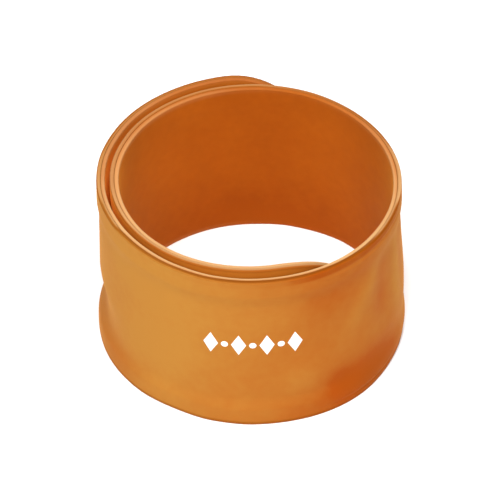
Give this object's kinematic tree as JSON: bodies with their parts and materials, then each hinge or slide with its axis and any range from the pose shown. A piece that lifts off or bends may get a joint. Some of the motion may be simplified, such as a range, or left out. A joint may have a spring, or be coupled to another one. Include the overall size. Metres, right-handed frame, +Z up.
{
  "type": "slap bracelet",
  "caption": "Wide silicone slap bracelet curled into a coil, a hidden steel spring strip sealed between two skins, with rounded ends.",
  "frame": {"origin": "middle of the coil's footprint, on the surface that its lower rim stands on", "axes": "+Z up along the coil's axis, which is the wrist's axis when worn; -Y is the front, where the outer layer's plain face shows; the free outer end lies at the back"},
  "size_m": [0.0498, 0.0506, 0.03],
  "materials": {
    "outer_silicone": "matte orange silicone with a soft sheen",
    "inner_silicone": "matte orange silicone, the same as the outer skin",
    "spring_steel": "bare spring steel, hidden inside the band"
  },
  "bodies": {
    "root": {"outer_skin": "outer_silicone", "inner_skin": "inner_silicone", "spring_strip": "spring_steel"}
  },
  "joints": []
}
